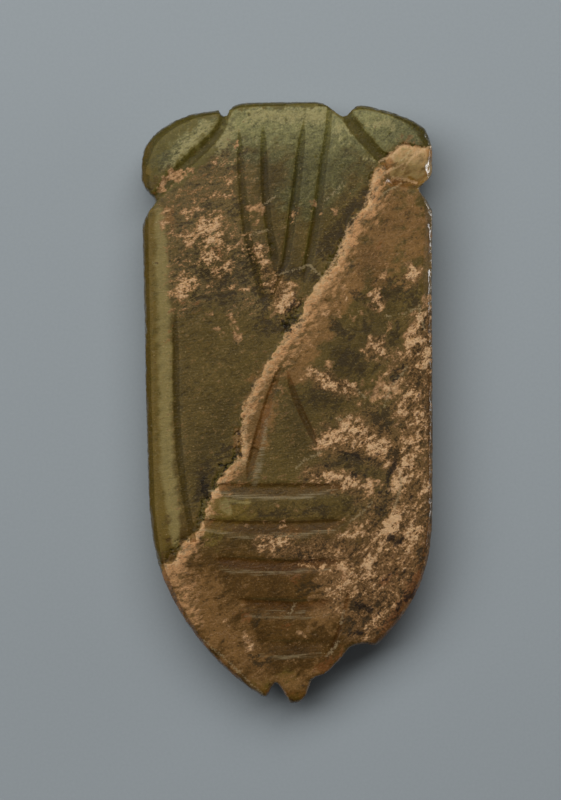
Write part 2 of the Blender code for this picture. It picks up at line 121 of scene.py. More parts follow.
# Pink and tan calcified patches with ragged edges
TAN = (
    ((-12.4, 21.6, 0.5), (-11.1, 23.0, 0.45)), ((-10.7, 22.6, 0.3), (-9.7, 23.2, 0.3)),
    ((-8.9, 20.0, 0.3), (-7.0, 20.4, 0.4), (-5.5, 20.7, 0.38)),
    ((-12.3, 19.1, 0.3), (-11.2, 19.3, 0.3)), ((-10.1, 18.9, 0.5), (-8.9, 19.1, 0.5)),
    ((-7.1, 17.8, 1.1), (-8.3, 17.1, 1.1), (-7.5, 16.2, 0.9)), ((-9.8, 18.4, 0.3),),
    ((-8.6, 15.2, 0.3), (-7.8, 14.6, 0.3)), ((-11.0, 16.7, 0.35), (-9.2, 16.6, 0.5)),
    ((-10.4, 16.0, 0.25), (-9.0, 15.9, 0.3)), ((-12.4, 17.8, 0.4),),
    ((-7.9, 14.1, 0.35), (-6.2, 15.1, 0.3), (-5.2, 15.6, 0.25), (-4.4, 15.9, 0.2)),
    ((-7.5, 12.3, 0.35), (-6.7, 13.3, 0.5), (-5.7, 13.9, 0.4)), ((-4.3, 14.9, 0.45),),
    ((-3.6, 19.5, 0.45), (-2.6, 19.1, 0.45)), ((-3.1, 18.1, 0.3),),
    ((-2.9, 14.3, 0.4), (-2.5, 15.5, 0.4)),
    ((-11.0, 10.5, 0.5), (-10.3, 11.3, 0.6), (-9.2, 11.8, 0.6)),
    ((-10.1, 12.4, 0.5), (-8.9, 12.0, 0.45)), ((-8.0, 11.3, 0.3), (-7.2, 12.2, 0.3)),
    ((-8.0, 8.3, 0.18), (-7.6, 8.9, 0.2)), ((-7.5, 6.9, 0.2), (-6.6, 7.3, 0.2)),
    ((-5.5, 8.5, 0.3), (-5.1, 7.3, 0.3), (-4.9, 6.1, 0.25)),
    ((-5.1, 11.8, 0.4), (-4.1, 11.1, 0.35)), ((-6.9, 10.3, 0.3),), ((-4.1, 10.1, 0.22),),
    ((-2.1, 8.7, 0.3), (-0.7, 9.1, 0.4), (0.3, 10.2, 0.5)), ((-0.3, 10.5, 0.6), (0.5, 11.7, 0.5)),
    ((-5.3, 26.0, 0.3),), ((-7.0, 23.8, 0.3),), ((-6.3, 22.4, 0.3),), ((-5.7, 22.0, 0.35),),
    ((2.6, 19.8, 0.28),), ((3.1, 19.0, 0.22),), ((4.4, 18.9, 0.3), (5.1, 19.3, 0.35)),
    ((0.4, 18.4, 0.25), (1.0, 18.6, 0.3)), ((6.1, 21.1, 0.22),),
    ((9.3, 12.7, 0.2), (9.9, 13.5, 0.25)), ((12.2, 13.9, 0.3), (12.4, 12.7, 0.45)),
    ((5.8, 11.8, 0.18), (5.7, 10.5, 0.2)), ((8.9, 11.0, 0.45),),
    ((8.6, 10.0, 0.3), (9.5, 9.4, 0.35)), ((7.7, 9.0, 0.3),), ((6.4, 8.6, 0.3),),
    ((10.0, 7.4, 0.25), (10.6, 7.8, 0.25)),
    ((13.6, 9.0, 0.45), (12.4, 7.0, 0.4), (11.2, 4.6, 0.4), (9.8, 2.6, 0.45), (8.6, 0.6, 0.4)),
    ((3.0, 8.7, 0.3), (5.2, 8.8, 0.3)), ((0.0, 4.3, 0.16), (1.2, 5.0, 0.2), (2.3, 5.6, 0.16)),
    ((12.2, 6.1, 0.6), (12.0, 4.9, 0.5)), ((13.9, 10.5, 0.35), (14.1, 9.0, 0.35)),
    ((11.5, 6.3, 0.4), (12.5, 8.1, 0.4), (13.3, 9.1, 0.3)), ((13.6, 6.2, 0.6), (13.9, 4.2, 0.6)),
    ((7.7, 4.9, 0.35), (8.3, 6.1, 0.4)), ((8.7, 5.1, 0.35), (9.7, 5.5, 0.4), (9.5, 4.7, 0.35)),
    ((8.1, 3.9, 0.15), (9.0, 4.2, 0.15)), ((4.2, 3.9, 0.35),),
    ((1.8, 2.8, 0.3), (2.8, 3.1, 0.4), (3.5, 2.3, 0.35), (4.6, 1.6, 0.4)),
    ((5.5, 1.2, 0.35), (6.5, 1.7, 0.3)), ((-1.2, 1.2, 0.2), (0.0, 1.3, 0.2)),
    ((9.6, 2.2, 0.6), (10.8, 1.4, 0.6)), ((11.5, 0.3, 0.5), (12.5, 1.1, 0.45)),
    ((7.9, 0.0, 0.25), (9.8, 0.8, 0.25)), ((9.3, -0.2, 0.35),),
    ((12.1, -2.1, 0.3), (13.4, -1.2, 0.35)),
    ((2.8, -4.7, 0.3), (4.8, -3.4, 0.8), (6.3, -2.5, 0.8), (7.5, -3.1, 0.9), (8.5, -4.2, 0.8),
     (10.1, -4.9, 0.6)),
    ((7.0, -1.5, 0.4),), ((11.2, -2.5, 0.25), (11.2, -3.4, 0.25)),
    ((12.0, -4.0, 0.7), (13.0, -4.6, 0.6)),
    ((11.9, -5.7, 0.7), (11.1, -7.2, 0.8), (10.7, -8.7, 0.6)),
    ((3.5, -7.5, 0.35), (5.8, -7.1, 0.4)), ((6.1, -8.1, 0.5), (7.5, -8.2, 0.55), (9.1, -7.8, 0.45)),
    ((9.8, -5.9, 0.5),), ((0.3, -10.6, 0.3),), ((1.1, -10.4, 0.25), (1.0, -11.3, 0.25)),
    ((-1.0, -10.2, 0.25),), ((6.6, -13.1, 0.45), (7.3, -12.4, 0.4)),
    ((10.5, -11.6, 0.7), (9.9, -12.9, 0.65)), ((12.0, -12.4, 0.9), (12.6, -13.6, 0.8)),
    ((8.8, -15.5, 0.5), (9.8, -13.9, 0.5)), ((7.5, -17.2, 0.35), (8.5, -15.5, 0.35)),
    ((13.8, -7.9, 0.35), (13.6, -9.1, 0.35)), ((2.4, -16.0, 0.4),), ((3.5, -16.2, 0.3),),
    ((5.8, -16.4, 0.7), (6.0, -17.6, 0.7)), ((4.5, -18.9, 0.55),),
    ((6.3, -19.4, 0.3), (6.9, -18.6, 0.3)), ((7.9, -23.3, 0.5), (8.9, -21.5, 0.5)),
    ((10.1, -20.7, 0.45),), ((-4.1, -12.1, 0.3),), ((-0.5, -12.3, 0.22), (-0.2, -12.0, 0.22)),
    ((-2.6, -14.7, 0.35), (-1.8, -13.8, 0.4), (-1.4, -14.5, 0.35)),
    ((-0.9, -14.0, 0.4), (-0.2, -13.4, 0.35)), ((-4.3, -23.3, 0.45), (-3.7, -24.5, 0.4)),
    ((1.5, -23.1, 0.32),), ((-5.9, -21.8, 0.4),),
)
# Broad zones of speckled crust, thickest on their middle lines
CRUST = (
    ((13.6, 8.0, 1.4), (13.0, 3.0, 2.2), (12.6, -2.0, 2.4), (12.4, -8.0, 3.0), (11.6, -14.0, 4.2),
     (9.2, -18.4, 4.0), (8.4, -22.0, 2.4)),
    ((4.6, -3.6, 1.6), (8.0, -3.4, 2.4), (11.0, -5.4, 2.4)), ((1.4, -15.0, 1.3), (5.6, -14.4, 1.6)),
    ((-7.6, 17.4, 1.2), (-7.4, 13.4, 1.6)), ((-9.8, 11.6, 1.2),),
    ((-4.0, 15.0, 1.2), (-0.4, 10.4, 1.4)), ((8.8, 10.2, 0.9),), ((9.0, 5.2, 1.2),),
    ((12.4, 12.6, 0.9),), ((3.0, 2.6, 0.9), (6.2, 1.2, 1.0)),
    ((-1.8, -14.0, 1.1), (-0.2, -13.8, 1.2)), ((5.4, -17.6, 1.8), (4.4, -19.4, 1.4)),
    ((2.6, -7.2, 1.1), (7.4, -8.2, 1.3)),
)
# Frosted, finely speckled stone at the upper left
FROST = (
    ((-5.0, 25.4, 1.4), (-6.6, 22.6, 2.6), (-8.6, 18.6, 4.0), (-9.6, 12.6, 3.4)),
    ((-4.4, 16.0, 2.2), (-4.0, 11.0, 2.2)),
)
# Orange and rust-red spots
RUST = (
    ((-10.3, 9.9, 0.3),), ((-8.9, 9.6, 0.35),), ((-9.8, 5.9, 0.25),), ((-11.7, 7.3, 0.3),),
    ((-12.1, 6.2, 0.3),), ((9.3, 15.7, 0.28),), ((0.9, -17.2, 0.38),), ((-4.2, -21.2, 0.45),),
    ((-0.1, -22.1, 0.45),), ((-7.0, 15.2, 0.4),), ((9.8, -17.6, 0.8),), ((5.6, -16.9, 0.5),),
    ((13.3, -17.0, 0.6), (12.0, -19.4, 0.6), (9.6, -22.4, 0.5)), ((-12.8, 20.9, 0.3),),
    ((11.4, 26.0, 0.35), (12.4, 25.9, 0.3)), ((3.4, -26.7, 0.7), (5.6, -25.2, 0.6)),
)
# Dark grey-brown clouds
DARK = (
    ((-8.4, 19.5, 0.4), (-6.2, 20.1, 0.4)), ((-10.5, 18.0, 0.4), (-9.2, 18.2, 0.4)),
    ((-5.1, 19.4, 0.9),), ((-8.4, 15.1, 0.6),), ((-9.2, 13.5, 0.8), (-7.9, 12.8, 0.8)),
    ((-6.9, 11.8, 0.7), (-4.7, 12.8, 0.8)), ((-5.5, 14.9, 0.35),), ((-4.3, 13.6, 0.8),),
    ((-8.9, 10.4, 0.8), (-6.0, 10.6, 0.8), (-4.2, 11.8, 0.7)),
    ((-3.6, 13.0, 0.7), (-2.4, 10.0, 0.8), (-2.2, 7.6, 1.1), (-0.2, 7.4, 1.0), (0.8, 8.5, 0.7)),
    ((7.9, 20.8, 0.9), (6.6, 19.3, 1.1), (5.2, 17.1, 1.1), (3.6, 15.0, 1.0)),
    ((-0.6, 13.2, 0.9), (2.2, 12.8, 0.8)), ((10.5, 11.4, 1.3), (12.6, 10.4, 1.0)),
    ((8.0, 7.7, 0.9),), ((10.9, 8.4, 0.4), (10.8, 6.3, 0.9)), ((8.4, 4.7, 0.5),),
    ((10.7, 3.9, 0.7), (10.0, 2.8, 0.7)), ((5.6, 4.4, 1.2), (7.6, 3.4, 1.0)),
    ((2.8, 0.6, 1.3), (4.4, -0.4, 1.0)), ((9.6, -1.2, 1.0),),
    ((8.6, -0.9, 0.8), (9.8, -1.9, 0.8), (10.3, -3.7, 0.7), (10.9, -5.2, 0.6)),
    ((6.8, -10.2, 1.1),), ((9.6, -10.2, 0.8), (8.4, -12.2, 0.5)), ((6.6, -14.7, 0.7),),
    ((6.6, -20.4, 0.9), (6.6, -22.4, 0.9)), ((-0.6, -14.6, 0.5), (2.0, -15.4, 0.5)),
    ((-3.0, -21.6, 0.7),), ((1.6, -18.4, 0.9), (3.4, -18.2, 0.6)),
    ((-2.6, -11.0, 0.5), (0.0, -11.2, 0.7), (3.4, -10.6, 0.8)),
    ((12.6, -17.2, 0.5), (11.6, -19.2, 0.5)),
    ((-8.6, -9.4, 0.9), (-8.4, -6.8, 0.7), (-5.8, -4.4, 0.6)),
    ((4.2, -6.0, 0.7), (6.6, -5.8, 1.0), (8.8, -6.0, 0.7)),
    ((14.4, -9.5, 0.35), (14.1, -13.0, 0.45), (13.3, -16.6, 0.5), (12.0, -19.4, 0.5),
     (10.0, -22.2, 0.5)),
    ((13.9, 8.6, 0.35), (13.8, 6.6, 0.3)), ((4.8, 7.8, 0.7), (6.2, 6.8, 0.8)),
    ((6.4, 11.0, 0.4), (7.4, 10.2, 0.5)), ((-3.4, -25.4, 0.5), (-1.8, -26.0, 0.5)),
)
# Broad places where the stone is a little darker
DIM = (
    ((-5.9, -0.2, 1.0), (-7.0, -2.6, 1.4), (-8.0, -5.6, 1.4), (-8.6, -9.0, 1.0)),
    ((1.2, -0.4, 1.4), (1.0, -4.6, 1.3)), ((-1.4, 15.6, 1.4), (0.6, 14.0, 1.2)), ((8.2, 7.3, 1.5),),
    ((-2.0, 19.4, 1.0), (-1.4, 22.8, 1.2), (-3.4, 24.6, 0.8)), ((5.6, 4.6, 1.4), (4.0, 1.2, 1.2)),
    ((-10.2, 14.3, 0.9),), ((-6.2, 11.3, 1.2),), ((8.2, 14.6, 1.1), (9.3, 10.3, 1.2)),
    ((-3.6, -13.8, 1.0),), ((-3.0, -26.0, 1.4), (0.8, -24.9, 1.2)),
    ((-5.2, 13.0, 1.6), (-6.4, 10.8, 1.2)), ((11.2, 27.4, 1.2), (12.8, 26.6, 0.9)),
    ((13.9, 8.0, 0.5), (13.9, -4.0, 0.5)),
)
# Nearly black spots and stains
BLACK = (
    ((5.4, -5.5, 0.25), (6.6, -5.1, 0.35), (7.9, -5.4, 0.28)), ((4.0, -6.2, 0.25),),
    ((6.6, -7.2, 0.3), (7.8, -7.1, 0.3)), ((9.8, -17.1, 0.28),), ((9.1, -18.0, 0.32),),
    ((8.8, -18.8, 0.25),), ((11.5, -16.9, 0.3),), ((9.4, -19.7, 0.25),),
    ((10.8, -5.7, 0.35), (10.1, -6.7, 0.4), (9.9, -8.2, 0.35), (9.2, -9.0, 0.3)),
    ((8.9, -10.6, 0.35),), ((10.2, -9.6, 0.4),), ((6.9, -20.2, 0.4), (8.6, -20.6, 0.35)),
    ((0.8, 10.6, 0.25), (0.2, 9.2, 0.3)), ((-0.6, 8.6, 0.22), (0.0, 7.6, 0.22)),
    ((-4.6, -3.0, 0.25),), ((-4.5, -5.0, 0.25), (-6.3, -6.4, 0.2)),
    ((-8.4, -7.6, 0.35), (-7.9, -9.6, 0.3)), ((12.2, -9.2, 0.3),),
    ((11.2, -13.6, 0.3), (10.2, -13.4, 0.25)), ((12.4, -18.9, 0.35), (11.0, -20.6, 0.3)),
    ((11.0, 3.4, 0.25), (10.4, 2.2, 0.3)), ((9.0, -4.9, 0.2),),
    ((7.4, -22.6, 0.3), (6.4, -23.0, 0.25)),
)
# Warm brown stone
BROWN = (
    ((12.6, 18.6, 1.2), (12.8, 15.0, 1.3)), ((-11.6, 18.4, 0.9),),
    ((10.6, 20.2, 1.9), (9.8, 17.4, 2.8), (9.0, 14.6, 2.6)),
    ((-11.0, -17.4, 1.6), (-8.6, -19.8, 3.0), (-6.4, -22.8, 2.6), (-3.0, -26.2, 1.8)),
    ((-1.2, -28.6, 0.8), (1.4, -27.8, 1.4)), ((13.4, -14.0, 1.2), (11.4, -20.2, 1.2)),
    ((5.0, -18.0, 1.6), (3.6, -21.8, 1.6)), ((-2.6, 2.0, 1.0), (-4.0, -3.6, 1.2)),
    ((8.2, 15.4, 1.6), (6.2, 11.8, 1.5), (4.2, 8.9, 1.3), (2.4, 5.8, 1.2), (0.8, 3.2, 1.2)),
    ((-1.8, -0.6, 0.9), (-2.6, -4.0, 1.0)), ((9.4, -22.6, 1.0), (12.6, -18.4, 1.2)),
)
# Green jade, and its yellow, clearer places
GREEN = (
    ((-4.0, 28.0, 4.0), (3.4, 27.6, 5.5), (12.6, 28.0, 3.0)), ((3.4, 24.6, 5.0), (1.8, 21.0, 3.0)),
    ((-13.0, 25.0, 2.4), (-8.0, 27.6, 2.4)),
)
YELLOW = (
    ((-14.4, 25.4, 1.0), (-14.6, 20.6, 1.0)),
    ((-14.1, 18.0, 1.9), (-14.0, 2.0, 2.0), (-13.5, -9.0, 1.9), (-12.8, -14.0, 1.7)),
    ((-6.6, -9.9, 0.9), (-4.4, -10.6, 1.1), (-6.4, -11.4, 1.2), (-7.4, -13.4, 1.2)),
    ((0.2, -27.4, 1.2), (0.9, -29.4, 1.4)), ((-2.8, -28.0, 0.9), (-2.2, -29.2, 0.7)),
    ((12.3, 21.9, 0.7), (13.6, 21.9, 0.8)),
)
# Clear, saturated jade left with a wheel polish, on the bevels partly a painted shade where they lack the
# sheen of the flat face
CLEAR = (
    ((-14.2, 22.6, 1.0), (-14.0, 25.0, 1.5), (-12.8, 26.6, 1.5), (-10.4, 28.0, 1.2),
     (-8.0, 28.8, 0.8)),
    ((-6.4, 28.4, 0.5), (-7.3, 26.4, 0.9), (-9.3, 24.3, 1.1), (-11.3, 22.5, 1.0),
     (-13.0, 21.0, 0.7)),
    ((6.0, 28.4, 0.5), (7.4, 26.4, 0.7), (9.6, 24.2, 0.7)),
    ((-14.0, 18.0, 1.5), (-13.9, 3.0, 1.6), (-13.5, -9.0, 1.5), (-12.8, -14.0, 1.3)),
    ((-4.6, 29.8, 0.5), (3.2, 30.0, 0.5)), ((13.9, 27.0, 0.7), (14.4, 25.6, 0.6)),
)
# Smooth chipped facets of the broken eye, and thin worn crests below the lines of the abdomen, also
# painted paler as a highlight where they catch the light
FACET = (
    ((10.3, 24.2, 0.5), (11.5, 25.0, 0.7), (12.6, 25.1, 0.9), (13.7, 24.4, 1.2)),
    ((10.6, 22.9, 0.5), (11.7, 23.3, 1.1), (12.8, 22.9, 1.3), (14.2, 22.8, 0.9)),
)
WORN_CRESTS_AND_HIGHLIGHTS = (
    ((-7.9, -8.6, 0.2), (-6.6, -9.1, 0.35), (-4.6, -9.3, 0.3), (-1.2, -9.4, 0.25),
     (2.4, -9.2, 0.25), (4.9, -8.4, 0.15)),
    ((-8.6, -12.7, 0.15), (-6.4, -13.0, 0.25), (-3.7, -13.3, 0.22), (1.0, -13.2, 0.3),
     (4.6, -12.7, 0.25)),
    ((-6.9, -16.4, 0.2), (-5.6, -16.8, 0.25), (-3.2, -16.9, 0.22), (1.0, -16.8, 0.22),
     (4.4, -16.4, 0.15)),
    ((-4.2, -21.1, 0.2), (-1.0, -21.4, 0.25), (2.0, -21.3, 0.2), (4.2, -20.9, 0.15)),
    ((-3.9, -20.6, 0.1), (1.8, -20.8, 0.12)),
    ((-2.5, -25.3, 0.2), (0.0, -25.4, 0.22), (3.4, -25.0, 0.2)),
    ((-3.3, -7.9, 0.35), (-2.7, -5.9, 0.4), (-2.3, -3.7, 0.3), (-2.0, -1.6, 0.2)),
)
# Pale places: calcified stone or stone with a polish, partly a painted sheen on flat faces and a painted
# highlight on lit slopes
# A pale strip beside the left wing, partly a painted sheen on its flat face, and streaks below the first
# line of the abdomen, partly a painted highlight on the lit slope
STRIP = (
    ((-12.7, 19.0, 0.5), (-12.4, 12.0, 0.75), (-12.15, 4.0, 0.75), (-12.1, -2.0, 0.7),
     (-11.8, -7.0, 0.7), (-11.2, -12.0, 0.65), (-11.1, -14.0, 0.4)),
    ((-6.9, -9.7, 0.25), (-6.3, -10.3, 0.5), (-5.8, -10.9, 0.3)),
    ((-6.2, -9.8, 0.3), (-3.6, -9.9, 0.15)),
)
# Partly a painted sheen: paler, greyer places on the flat face of the left eye and the top of the head
PALE = (
    ((-11.4, 23.6, 0.7), (-9.2, 26.2, 1.2), (-7.2, 27.4, 0.7)),
    ((-7.2, 25.1, 0.8), (-5.6, 27.2, 0.7)), ((-3.4, 28.6, 0.7), (3.6, 28.6, 0.8)),
    # A painted highlight on a chip of the broken right eye
    ((11.6, 23.9, 0.6), (13.0, 23.4, 0.9), (13.8, 22.8, 0.5)),
    ((7.6, 27.8, 0.3), (10.2, 27.8, 0.45)), ((12.2, 6.1, 0.5), (12.0, 4.9, 0.45)),
    ((11.9, -5.7, 0.5), (10.7, -8.7, 0.5)), ((-7.3, 17.4, 0.7), (-7.4, 15.8, 0.6)),
    ((5.2, 27.3, 0.7), (6.5, 26.9, 0.5)), ((8.3, 24.4, 0.5),),
    ((10.5, -11.6, 0.5), (9.9, -12.9, 0.5)), ((9.0, -15.4, 0.4), (9.8, -13.9, 0.4)),
)
# Fine pale lines: cracks filled with calcite, and scratches
VEINS = (
    ((-0.7, 12.8, 0.10), (0.6, 13.2, 0.12), (1.6, 13.5, 0.14), (2.1, 13.7, 0.16), (2.9, 13.0, 0.14),
     (3.5, 12.7, 0.12)),
    ((-2.5, 19.6, 0.10), (-1.8, 20.2, 0.12), (-1.2, 20.6, 0.08)),
    ((-3.7, 16.8, 0.10), (-2.7, 17.0, 0.12), (-1.7, 17.3, 0.10)),
    ((3.9, 20.2, 0.08), (4.6, 20.9, 0.12), (5.8, 21.9, 0.08)),
    ((0.2, -21.0, 0.10), (0.7, -19.9, 0.13)), ((5.6, -20.5, 0.14), (5.4, -21.8, 0.16)),
    ((5.1, -23.7, 0.14), (3.9, -25.2, 0.16)),
    ((11.3, 22.0, 0.10), (10.4, 21.4, 0.12), (9.3, 20.6, 0.10)),
    ((12.6, 25.3, 0.07), (11.9, 24.7, 0.09), (11.1, 24.0, 0.07)),
    ((9.8, 8.6, 0.10), (11.4, 8.8, 0.12), (12.8, 9.2, 0.12), (13.4, 9.5, 0.1)),
    ((13.2, 9.6, 0.14), (13.7, 7.4, 0.12)), ((6.4, 1.8, 0.08), (8.2, 0.4, 0.10)),
    ((4.8, -1.8, 0.1), (6.3, -1.3, 0.12)), ((0.8, -6.6, 0.1), (1.8, -5.6, 0.12), (3.4, -4.9, 0.12)),
    ((9.6, -0.4, 0.1), (10.4, 1.6, 0.14), (12.0, 3.6, 0.12)),
    ((10.6, -10.6, 0.12), (11.4, -8.2, 0.14), (11.2, -6.6, 0.1)),
    ((6.2, -12.0, 0.10), (8.6, -9.9, 0.12)), ((-8.2, -23.7, 0.1), (-2.5, -28.9, 0.1)),
)
# Pinkish ridges between the chips of the broken eye, and along the break
RIDGES = (
    ((11.4, 23.1, 0.1), (12.4, 24.3, 0.13), (13.7, 25.3, 0.13), (14.4, 25.7, 0.12)),
    ((9.2, 24.0, 0.1), (10.0, 24.5, 0.16), (11.4, 25.6, 0.18), (12.0, 25.4, 0.14)),
    ((10.4, 22.5, 0.1), (11.6, 22.3, 0.14), (12.9, 22.0, 0.12)),
    ((9.6, 22.9, 0.1), (11.0, 23.5, 0.1), (11.6, 23.9, 0.08)),
    ((8.8, 22.8, 0.2), (8.4, 21.4, 0.18), (7.8, 19.8, 0.14)),
    ((6.2, 17.9, 0.14), (5.4, 15.6, 0.16), (4.4, 13.6, 0.16), (2.8, 11.2, 0.14)),
)
# Open crevices at the foot of the break, whose shade is also painted dark
CREVICES = (
    ((1.6, 10.3, 0.22), (0.9, 9.1, 0.3), (0.2, 8.0, 0.3), (-0.6, 7.0, 0.16)),
    ((-4.5, -1.7, 0.12), (-4.75, -3.0, 0.25), (-4.7, -4.4, 0.2), (-5.3, -5.7, 0.25),
     (-6.6, -6.9, 0.25), (-7.3, -8.4, 0.2)),
    ((-7.9, -9.6, 0.2), (-8.5, -11.0, 0.25), (-8.7, -12.1, 0.2)),
    ((9.3, 23.3, 0.12), (8.5, 22.6, 0.14), (8.1, 20.8, 0.1)),
    ((5.2, 15.8, 0.1), (4.2, 13.4, 0.14), (3.0, 12.0, 0.12)),
    ((-10.7, -13.7, 0.12), (-11.7, -15.6, 0.16)),
)
# Single small pits in the polished face: x, y and radius
PITS = (
    (-3.3, 26.3, 0.14), (-0.4, 28.5, 0.12), (0.3, 28.5, 0.1), (2.9, 24.5, 0.16), (5.5, 23.4, 0.14),
    (9.3, 15.7, 0.14), (10.9, 15.0, 0.16), (-10.2, 26.0, 0.1), (-9.4, 20.4, 0.1), (3.0, 24.0, 0.1),
)
# Chipped facets of the broken right eye: a point on each plane, and its fall towards +X and +Y
EYE_CHIPS = (
    (11.2, 24.8, 5.42, -0.45, 0.25), (13.2, 24.3, 5.40, 0.12, 0.34), (12.6, 22.9, 5.26, -0.05, -0.40),
    (14.2, 23.6, 5.05, 0.80, 0.0),
)
EYE_CHIP_LOWEST = 21.9


# The chart

def chart_axes():
    across = np.arange(-CHART_HALF_X, CHART_HALF_X + CELL / 2, CELL)
    along = np.arange(-CHART_HALF_Y, CHART_HALF_Y + CELL / 2, CELL)
    return across, along


CHART_X, CHART_Y = np.meshgrid(*chart_axes())


def read_chart(field, x, y):
    """The field's value at each place, blended between the four nearest cells."""
    column = np.clip((x + CHART_HALF_X) / CELL, 0, field.shape[1] - 1.001)
    row = np.clip((y + CHART_HALF_Y) / CELL, 0, field.shape[0] - 1.001)
    left, low = column.astype(int), row.astype(int)
    u, v = column - left, row - low
    lower = field[low, left] * (1 - u) + field[low, left + 1] * u
    upper = field[low + 1, left] * (1 - u) + field[low + 1, left + 1] * u
    return lower * (1 - v) + upper * v


def blur(field, reach):
    """A Gaussian blur whose deviation is reach, in millimetres."""
    half = max(1, math.ceil(3 * reach / CELL))
    steps = np.arange(-half, half + 1) * CELL
    kernel = np.exp(-0.5 * (steps / reach) ** 2)
    kernel /= kernel.sum()
    for axis in (0, 1):
        padding = [(0, 0), (0, 0)]
        padding[axis] = (half, half)
        padded = np.pad(field, padding, mode="edge")
        length = field.shape[axis]
        field = sum(
            weight * np.take(padded, range(i, i + length), axis=axis)
            for i, weight in enumerate(kernel)
        )
    return field


def cloud(seed, size, power=1.6):
    """Random cloudiness with features about size mm across, with mean 0 and deviation 1."""
    white = np.random.default_rng(seed).standard_normal(CHART_X.shape)
    spectrum = np.fft.rfft2(white)
    across = np.fft.rfftfreq(CHART_X.shape[1], CELL)
    along = np.fft.fftfreq(CHART_X.shape[0], CELL)
    frequency = np.hypot(across[None, :], along[:, None])
    spectrum /= (1 + (frequency * size) ** 2) ** power
    field = np.fft.irfft2(spectrum, CHART_X.shape)
    return (field - field.mean()) / field.std()


def ease(value, low, high):
    """0 below low, 1 above high, and a smooth rise between."""
    share = np.clip((value - low) / (high - low), 0, 1)
    return share * share * (3 - 2 * share)


def stroke_depth(strokes, x, y):
    """How deep each cell lies in the strokes: 1 on a middle line, 0 on an edge, -1 far outside."""
    depth = np.full(CHART_X.shape, -1.0)
    for stroke in strokes:
        for start, end in zip(stroke, stroke[1:] or stroke):
            reach = 2 * max(start[2], end[2]) + STROKE_MARGIN
            rows = window(start[1], end[1], reach, CHART_HALF_Y)
            columns = window(start[0], end[0], reach, CHART_HALF_X)
            step = np.subtract(end, start)
            from_x = x[rows, columns] - start[0]
            from_y = y[rows, columns] - start[1]
            length = step[0] ** 2 + step[1] ** 2
            share = 0.0
            if length > 0:
                share = np.clip((from_x * step[0] + from_y * step[1]) / length, 0, 1)
            distance = np.hypot(from_x - share * step[0], from_y - share * step[1])
            found = 1 - distance / (start[2] + share * step[2])
            depth[rows, columns] = np.maximum(depth[rows, columns], found)
    return depth


def window(start, end, reach, half):
    """The rows or columns of the chart from start to end, and as far as reach beyond them."""
    low = int((min(start, end) - reach + half) / CELL)
    high = int((max(start, end) + reach + half) / CELL) + 1
    return slice(max(low, 0), max(high, 1))


def inside_outline(corners, x, y):
    """Whether each place lies inside the closed outline."""
    inside = np.zeros(x.shape, bool)
    for (x0, y0), (x1, y1) in zip(corners, corners[1:] + corners[:1]):
        if y0 == y1:
            continue
        crosses = (y0 > y) != (y1 > y)
        inside ^= crosses & (x < x0 + (y - y0) * (x1 - x0) / (y1 - y0))
    return inside


def break_distance(x, y):
    """The distance from the break's foot, positive on the lower fragment."""
    nearest = np.full(x.shape, 99.0)
    for (x0, y0), (x1, y1) in zip(BREAK_LINE, BREAK_LINE[1:]):
        dx, dy = x1 - x0, y1 - y0
        share = np.clip(((x - x0) * dx + (y - y0) * dy) / (dx * dx + dy * dy), 0, 1)
        nearest = np.minimum(nearest, np.hypot(x - x0 - share * dx, y - y0 - share * dy))
    upper = inside_outline(BREAK_LINE + FAR_CORNERS, x, y)
    return np.where(upper, -nearest, nearest)


def ragged_break():
    """The distance from the break's foot, which is chipped and uneven."""
    return break_distance(
        CHART_X + 0.14 * cloud(11, 1.2, 1.1) + 0.05 * cloud(22, 0.3, 1.0),
        CHART_Y + 0.14 * cloud(12, 1.2, 1.1) + 0.05 * cloud(23, 0.3, 1.0),
    )


# The stone's heights

def merged_copy(node):
    """A new object with the node's mesh, its loose triangles joined."""
    bpy.ops.object.select_all(action="DESELECT")
    node.select_set(True)
    bpy.context.view_layer.objects.active = node
    piece = bpy.data.objects.new("carved_cicada", node.data.copy())
    bpy.context.scene.collection.objects.link(piece)
    node.select_set(False)
    make_active(piece)
    piece.data.materials.clear()
    bpy.ops.object.mode_set(mode="EDIT")
    bpy.ops.mesh.select_all(action="SELECT")
    bpy.ops.mesh.remove_doubles(threshold=1e-6)
    bpy.ops.object.mode_set(mode="OBJECT")
    return piece


def make_active(piece):
    bpy.ops.object.select_all(action="DESELECT")
    piece.select_set(True)
    bpy.context.view_layer.objects.active = piece


def read_heights(piece, way):
    """The chart of the upper face (way 1) or the resting face (way -1), and where the stone is."""
    bm = bmesh.new()
    bm.from_mesh(piece.data)
    tree = BVHTree.FromBMesh(bm)
    bm.free()
    heights = np.full(CHART_X.shape, np.nan)
    start = RAY_START * MM * way
    down = Vector((0, 0, -way))
    for row in range(CHART_X.shape[0]):
        for column in range(CHART_X.shape[1]):
            origin = Vector((CHART_X[row, column] * MM, CHART_Y[row, column] * MM, start))
            hit = tree.ray_cast(origin, down)[0]
            if hit is not None:
                heights[row, column] = hit.z / MM
    return fill_outside(heights), np.isfinite(heights).astype(float)


def fill_outside(heights):
    """Heights carried on past the outline, so that blurring doesn't pull the rim down."""
    known = np.isfinite(heights)
    filled = np.where(known, heights, 0.0)
    weight = known.astype(float)
    result = filled.copy()
    for reach in (0.2, 0.6, 2.0):
        spread = blur(filled, reach)
        share = blur(weight, reach)
        near = ~known & (share > 0.02)
        result[near] = (spread / np.maximum(share, 1e-6))[near]
        known = known | near
    result[~known] = MID_HEIGHT
    return result


def add_pits(heights, places, depth_share):
    """Presses small round pits into the heights."""
    for x, y, radius in places:
        rows = window(y, y, radius, CHART_HALF_Y)
        columns = window(x, x, radius, CHART_HALF_X)
        distance = np.hypot(CHART_X[rows, columns] - x, CHART_Y[rows, columns] - y) / radius
        heights[rows, columns] -= radius * depth_share * np.clip(1 - distance ** 2, 0, 1)


